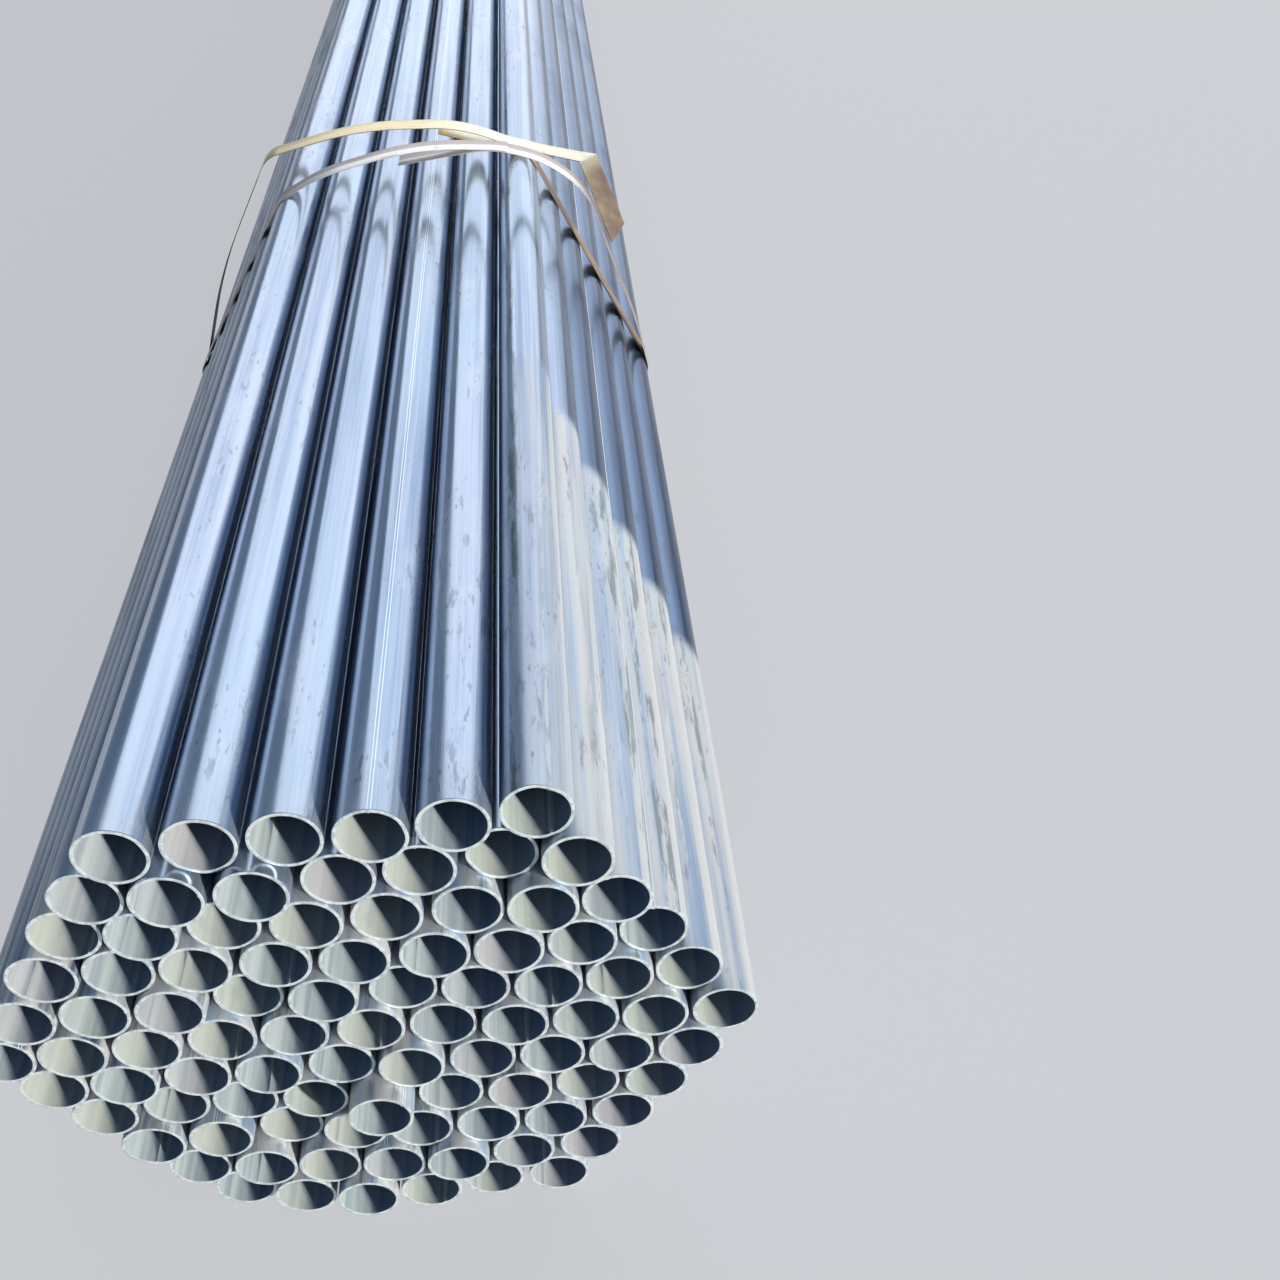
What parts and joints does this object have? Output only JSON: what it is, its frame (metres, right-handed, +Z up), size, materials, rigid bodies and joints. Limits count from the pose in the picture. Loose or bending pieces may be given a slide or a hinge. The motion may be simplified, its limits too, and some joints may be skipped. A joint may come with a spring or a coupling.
{
  "type": "strapped bundle of steel tubes",
  "caption": "Hexagonal bundle of long round steel tubes, open at both ends, held together by steel straps, two of them slack over the top.",
  "frame": {"origin": "on the floor, under the middle of the bundle's bounding box", "axes": "+Y along the tubes, with the picture's open ends at the -Y end; +X across the bundle to the right as seen from those ends; +Z up"},
  "size_m": [0.5698, 6.0292, 0.5139],
  "materials": {
    "tube_steel": "bright mill finish with a blue-grey cast, fine lengthwise streaks and scuffs",
    "strap_golden": "worn golden-brown steel strapping with pale highlights",
    "strap_silvery": "worn silvery-brown steel strapping",
    "strap_plain": "worn steel strapping",
    "seal_steel": "dull galvanised strap seal"
  },
  "bodies": {
    "root": {"tubes_row_01": "tube_steel", "tubes_row_02": "tube_steel", "tubes_row_03": "tube_steel", "tubes_row_04": "tube_steel", "tubes_row_05": "tube_steel", "tubes_row_06": "tube_steel", "tubes_row_07": "tube_steel", "tubes_row_08": "tube_steel", "tubes_row_09": "tube_steel", "tubes_row_10": "tube_steel", "tubes_row_11": "tube_steel", "strap_front_golden": "strap_golden", "strap_front_silvery": "strap_silvery", "strap_middle": "strap_plain", "strap_back": "strap_plain", "strap_seal_middle": "seal_steel", "strap_seal_back": "seal_steel"}
  },
  "joints": []
}
